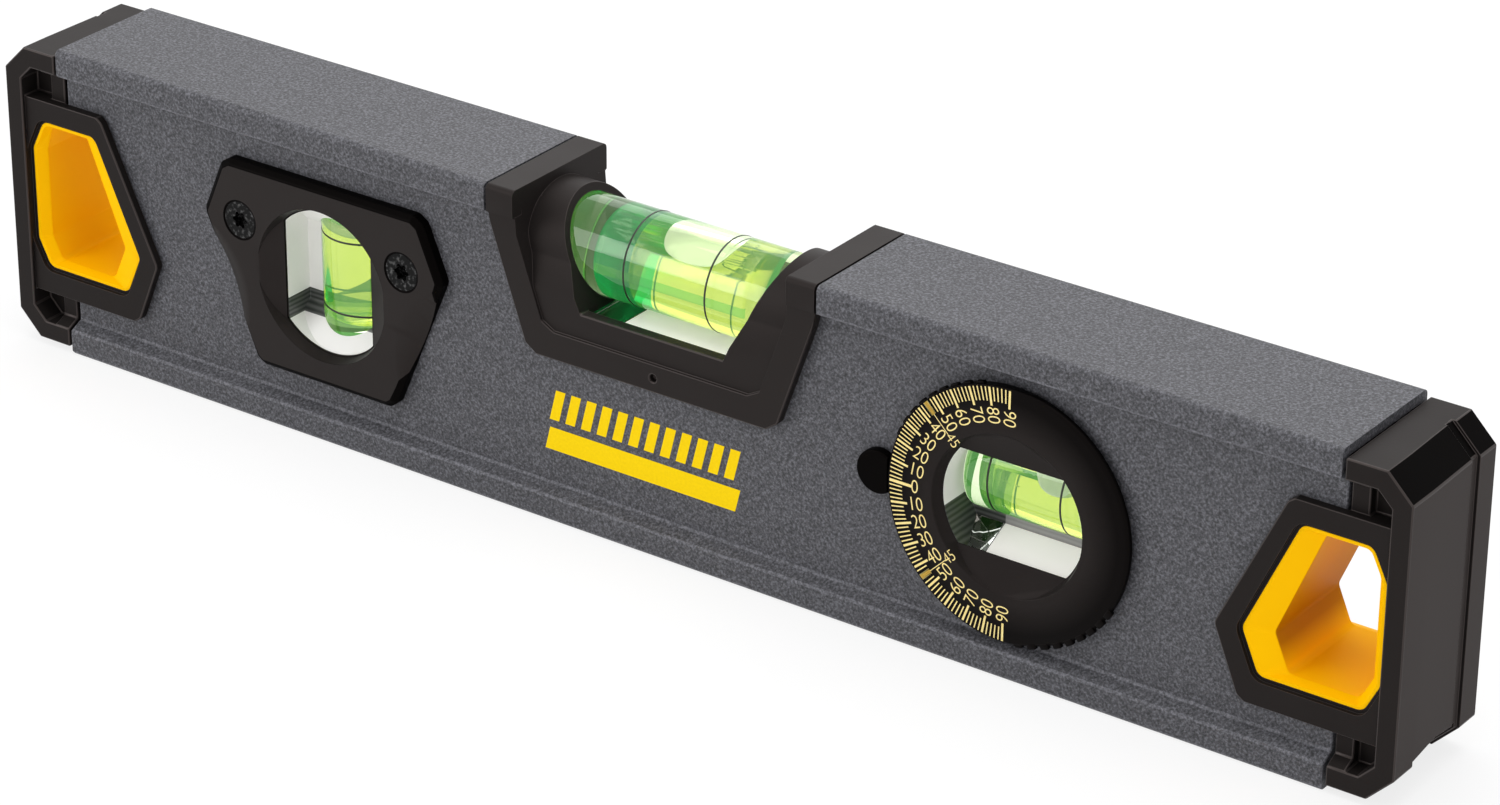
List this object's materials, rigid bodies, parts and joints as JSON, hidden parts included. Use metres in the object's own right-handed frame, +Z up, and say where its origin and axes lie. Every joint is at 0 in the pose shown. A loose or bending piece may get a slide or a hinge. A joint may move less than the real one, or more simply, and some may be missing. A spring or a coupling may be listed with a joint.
{
  "type": "spirit level",
  "caption": "Short box-beam torpedo level with a level vial, a plumb vial, a turning angle dial and a hanging hole at each end.",
  "frame": {"origin": "middle of the underside, the working face with the pipe groove", "axes": "+X along the beam towards the angle dial, +Y through the beam towards the rear, +Z up; the front faces -Y"},
  "size_m": [0.25, 0.0228, 0.052],
  "materials": {
    "grey_paint": "fine textured dark grey paint",
    "black_plastic": "fine matte moulded black plastic",
    "yellow_plastic": "satin bright yellow plastic",
    "clear_acrylic": "polished clear acrylic",
    "lime_liquid": "clear yellow-green liquid",
    "ring_black": "black ring",
    "white_plastic": "satin white plastic",
    "screw_steel": "zinc-plated steel"
  },
  "bodies": {
    "body": {"beam": "grey_paint", "right_cap_front": "black_plastic", "right_cap_rear": "black_plastic", "left_cap_front": "black_plastic", "left_cap_rear": "black_plastic", "right_sleeve": "yellow_plastic", "left_sleeve": "yellow_plastic", "level_housing": "black_plastic", "level_vial": "clear_acrylic", "level_liquid": "lime_liquid", "level_rings": "ring_black", "level_plug": "clear_acrylic", "level_strip": "white_plastic", "level_block": "clear_acrylic", "plumb_bezel_front": "black_plastic", "plumb_bezel_rear": "black_plastic", "plumb_screws": "screw_steel", "plumb_carrier": "white_plastic", "plumb_vial": "clear_acrylic", "plumb_liquid": "lime_liquid", "plumb_rings": "ring_black", "plumb_plug": "clear_acrylic", "dial_bush": "black_plastic", "dial_pointers": "black_plastic"},
    "dial": {"dial_face_front": "black_plastic", "dial_face_rear": "black_plastic", "dial_carrier": "white_plastic", "angle_vial": "clear_acrylic", "angle_liquid": "lime_liquid", "angle_rings": "ring_black", "angle_plug": "clear_acrylic", "angle_strip": "white_plastic", "angle_block": "clear_acrylic"}
  },
  "joints": [
    {"name": "dial_turn", "type": "hinge", "parent": "body", "child": "dial", "pos_m": [0.0622, 0, 0.0257], "axis": [0, 1, 0], "continuous": true}
  ]
}
